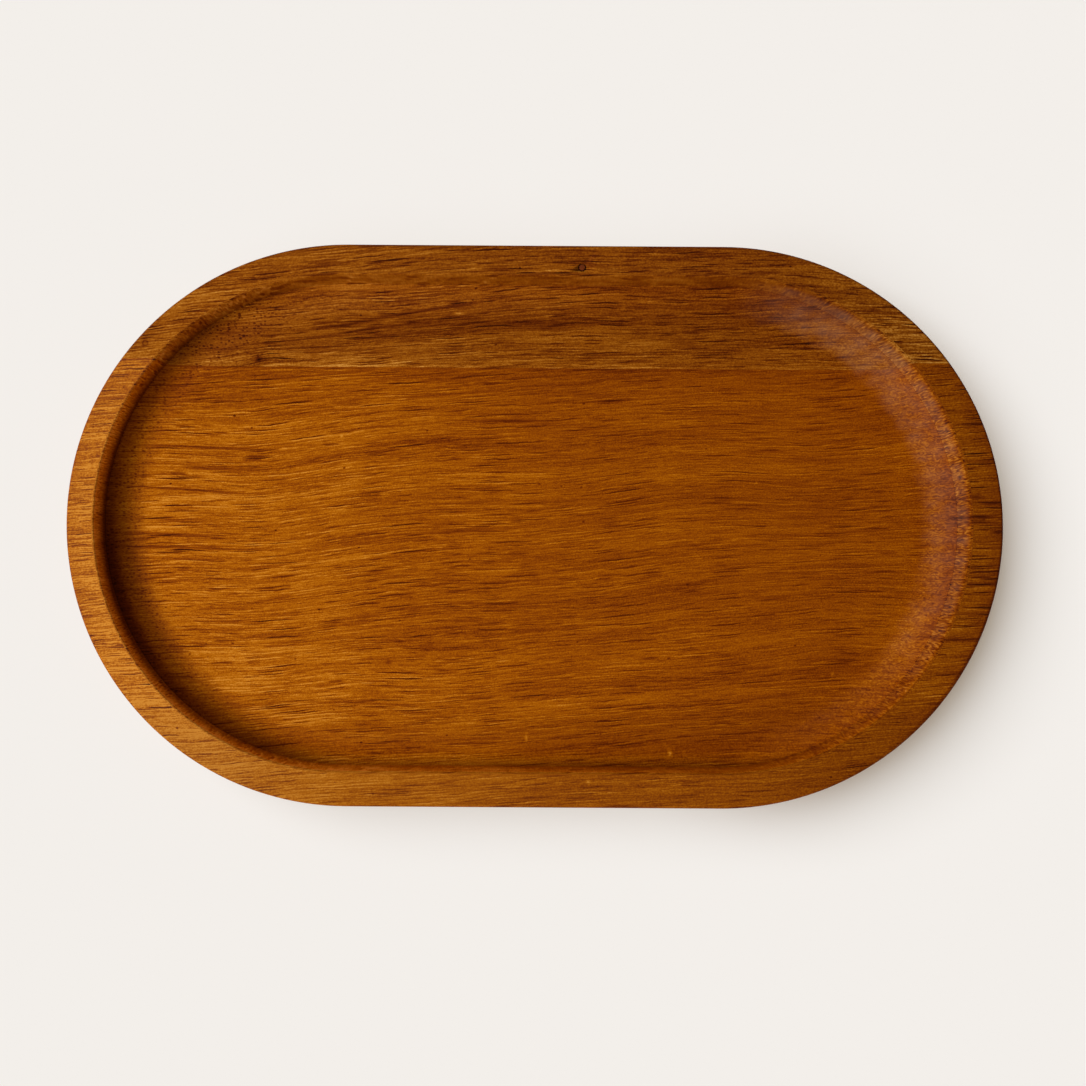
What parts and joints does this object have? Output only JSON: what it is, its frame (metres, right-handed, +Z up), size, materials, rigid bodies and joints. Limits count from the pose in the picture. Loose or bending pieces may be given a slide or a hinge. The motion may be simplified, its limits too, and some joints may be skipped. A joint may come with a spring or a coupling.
{
  "type": "oval serving tray",
  "caption": "Oval wooden tray with straight sides, a flat rim and a dished recess, made of edge-glued boards.",
  "frame": {"origin": "middle of the flat underside, at the height of the surface the tray rests on", "axes": "+X along the tray and its grain, +Y across it to the rear, +Z up"},
  "size_m": [0.3, 0.18, 0.02],
  "materials": {
    "rear_wood": "oiled open-grained hardwood, olive brown with long dark pores, low sheen",
    "front_wood": "oiled open-grained hardwood, orange brown with fine dark pores, low sheen",
    "plug_wood": "dark end grain, oiled"
  },
  "bodies": {
    "root": {"rear_board": "rear_wood", "front_board": "front_wood", "rim_plug": "plug_wood"}
  },
  "joints": []
}
